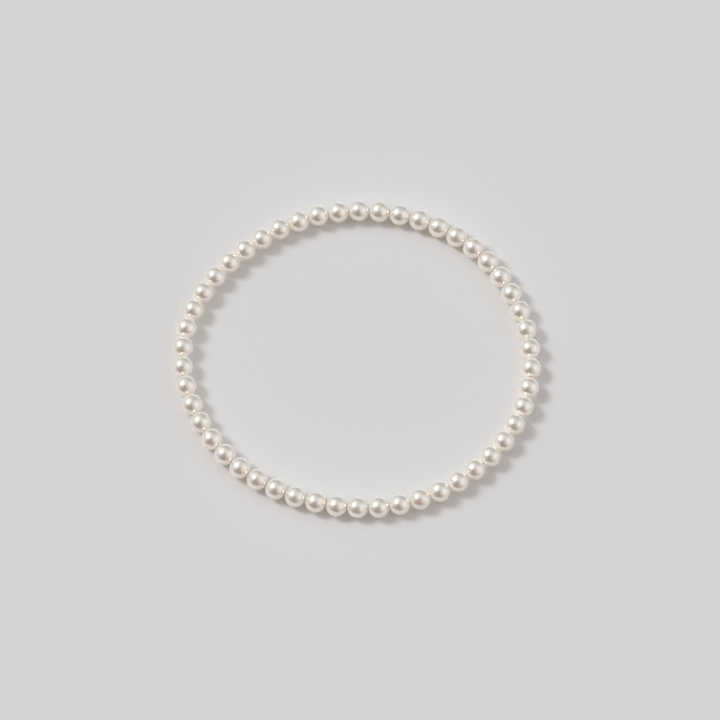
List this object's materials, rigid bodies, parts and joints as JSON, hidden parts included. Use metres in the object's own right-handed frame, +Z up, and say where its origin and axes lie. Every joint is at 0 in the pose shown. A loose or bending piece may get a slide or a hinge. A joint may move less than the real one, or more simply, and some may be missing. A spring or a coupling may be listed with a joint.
{
  "type": "pearl anklet",
  "caption": "Round pearls of one size strung edge to edge on a closed loop of elastic cord, lying flat and relaxed.",
  "frame": {"origin": "on the surface the anklet lies on, at the middle of the loop's box", "axes": "+X along the loop's longer way, +Z up out of the surface, towards the ankle's leg"},
  "size_m": [0.0884, 0.0811, 0.005],
  "materials": {
    "pearl": "lustrous cream nacre",
    "elastic": "translucent white elastic"
  },
  "bodies": {
    "root": {"pearls_01_to_10": "pearl", "pearls_11_to_20": "pearl", "pearls_21_to_30": "pearl", "pearls_31_to_40": "pearl", "pearls_41_to_50": "pearl", "elastic_cord": "elastic"}
  },
  "joints": []
}
